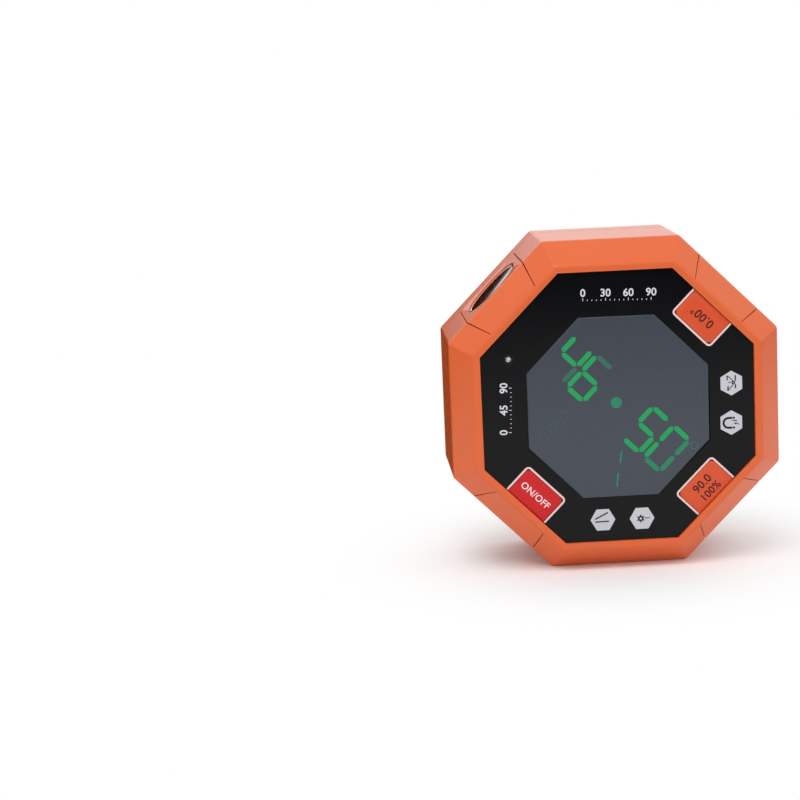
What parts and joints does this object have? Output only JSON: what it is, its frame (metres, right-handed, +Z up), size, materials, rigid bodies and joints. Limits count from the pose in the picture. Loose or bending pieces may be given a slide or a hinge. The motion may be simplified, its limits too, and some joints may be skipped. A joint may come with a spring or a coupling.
{
  "type": "digital angle gauge",
  "caption": "Octagonal digital angle gauge with a segment display, keys round the dial, disc magnets and line laser windows in its slanting sides, and a battery cover at the back.",
  "frame": {"origin": "centre of the bounding box's bottom face, in the plane of the lowest flat that the gauge stands on", "axes": "+Z up, -Y out of the dial towards the viewer, +Y out of the back wall, +X to the viewer's right"},
  "size_m": [0.086, 0.0382, 0.086],
  "materials": {
    "orange_housing": "fine satin moulded plastic",
    "orange_cap": "fine satin moulded plastic",
    "black_acrylic": "polished black acrylic with fine printed marks",
    "smoked_acrylic": "polished smoked acrylic over a segment display",
    "display_glass": "polished display glass",
    "diffuser": "white light diffuser",
    "white_plastic": "white moulded plastic",
    "circuit_board": "green solder mask",
    "black_plastic": "black moulded plastic",
    "red_key": "satin red key",
    "orange_key": "satin orange key",
    "nickel": "bright nickel plate",
    "steel": "zinc-plated steel",
    "brass": "turned brass",
    "red_window": "polished dark red acrylic",
    "lens_glass": "clear lens",
    "led_resin": "clear amber resin",
    "cell_jacket": "plain shrink jacket",
    "red_lead": "red wire insulation",
    "black_lead": "black wire insulation"
  },
  "bodies": {
    "root": {"front_housing": "orange_housing", "rear_housing": "orange_housing", "side_cap_upper_left": "orange_cap", "side_cap_upper_right": "orange_cap", "side_cap_lower_left": "orange_cap", "side_cap_lower_right": "orange_cap", "magnet_upper_left": "nickel", "magnet_lower_right": "nickel", "laser_window_upper_right": "red_window", "laser_window_lower_left": "red_window", "laser_barrel_upper_right": "brass", "laser_barrel_lower_left": "brass", "laser_lens_upper_right": "lens_glass", "laser_lens_lower_left": "lens_glass", "front_panel": "black_acrylic", "display_window": "smoked_acrylic", "display_glass": "display_glass", "backlight_diffuser": "diffuser", "display_frame": "white_plastic", "main_board": "circuit_board", "controller_chip": "black_plastic", "tilt_sensor": "black_plastic", "buzzer": "black_plastic", "clock_crystal": "steel", "voltage_regulator": "black_plastic", "choke_coil": "black_plastic", "laser_lead_upper_right": "black_lead", "laser_lead_lower_left": "black_lead", "battery_lead_positive": "red_lead", "battery_lead_negative": "black_lead", "status_led": "led_resin", "switch_body_power": "black_plastic", "switch_body_zero": "black_plastic", "switch_body_hold": "black_plastic", "battery_upper": "cell_jacket", "battery_lower": "cell_jacket", "battery_spring_upper": "steel", "battery_spring_lower": "steel", "contact_bridge": "nickel", "contact_positive": "nickel", "contact_negative": "nickel", "housing_screw_1": "steel", "housing_screw_2": "steel", "housing_screw_3": "steel", "housing_screw_4": "steel", "board_screw_1": "steel", "board_screw_2": "steel", "board_screw_3": "steel", "board_screw_4": "steel"},
    "power_key": {"power_key": "red_key", "switch_plunger_power": "white_plastic"},
    "zero_key": {"zero_key": "orange_key", "switch_plunger_zero": "white_plastic"},
    "hold_key": {"hold_key": "orange_key", "switch_plunger_hold": "white_plastic"},
    "battery_cover": {"battery_cover": "orange_housing", "battery_cover_screw": "steel"}
  },
  "joints": [
    {"name": "power_key_press", "type": "slide", "parent": "root", "child": "power_key", "axis": [0, 1, 0], "range_m": [0, 0.0006], "stiffness_N_per_m": 300, "springref_m": -0.002},
    {"name": "zero_key_press", "type": "slide", "parent": "root", "child": "zero_key", "axis": [0, 1, 0], "range_m": [0, 0.0006], "stiffness_N_per_m": 300, "springref_m": -0.002},
    {"name": "hold_key_press", "type": "slide", "parent": "root", "child": "hold_key", "axis": [0, 1, 0], "range_m": [0, 0.0006], "stiffness_N_per_m": 300, "springref_m": -0.002},
    {"name": "battery_cover_lift", "type": "slide", "parent": "root", "child": "battery_cover", "axis": [0, 1, 0], "range_m": [0, 0.02]}
  ]
}
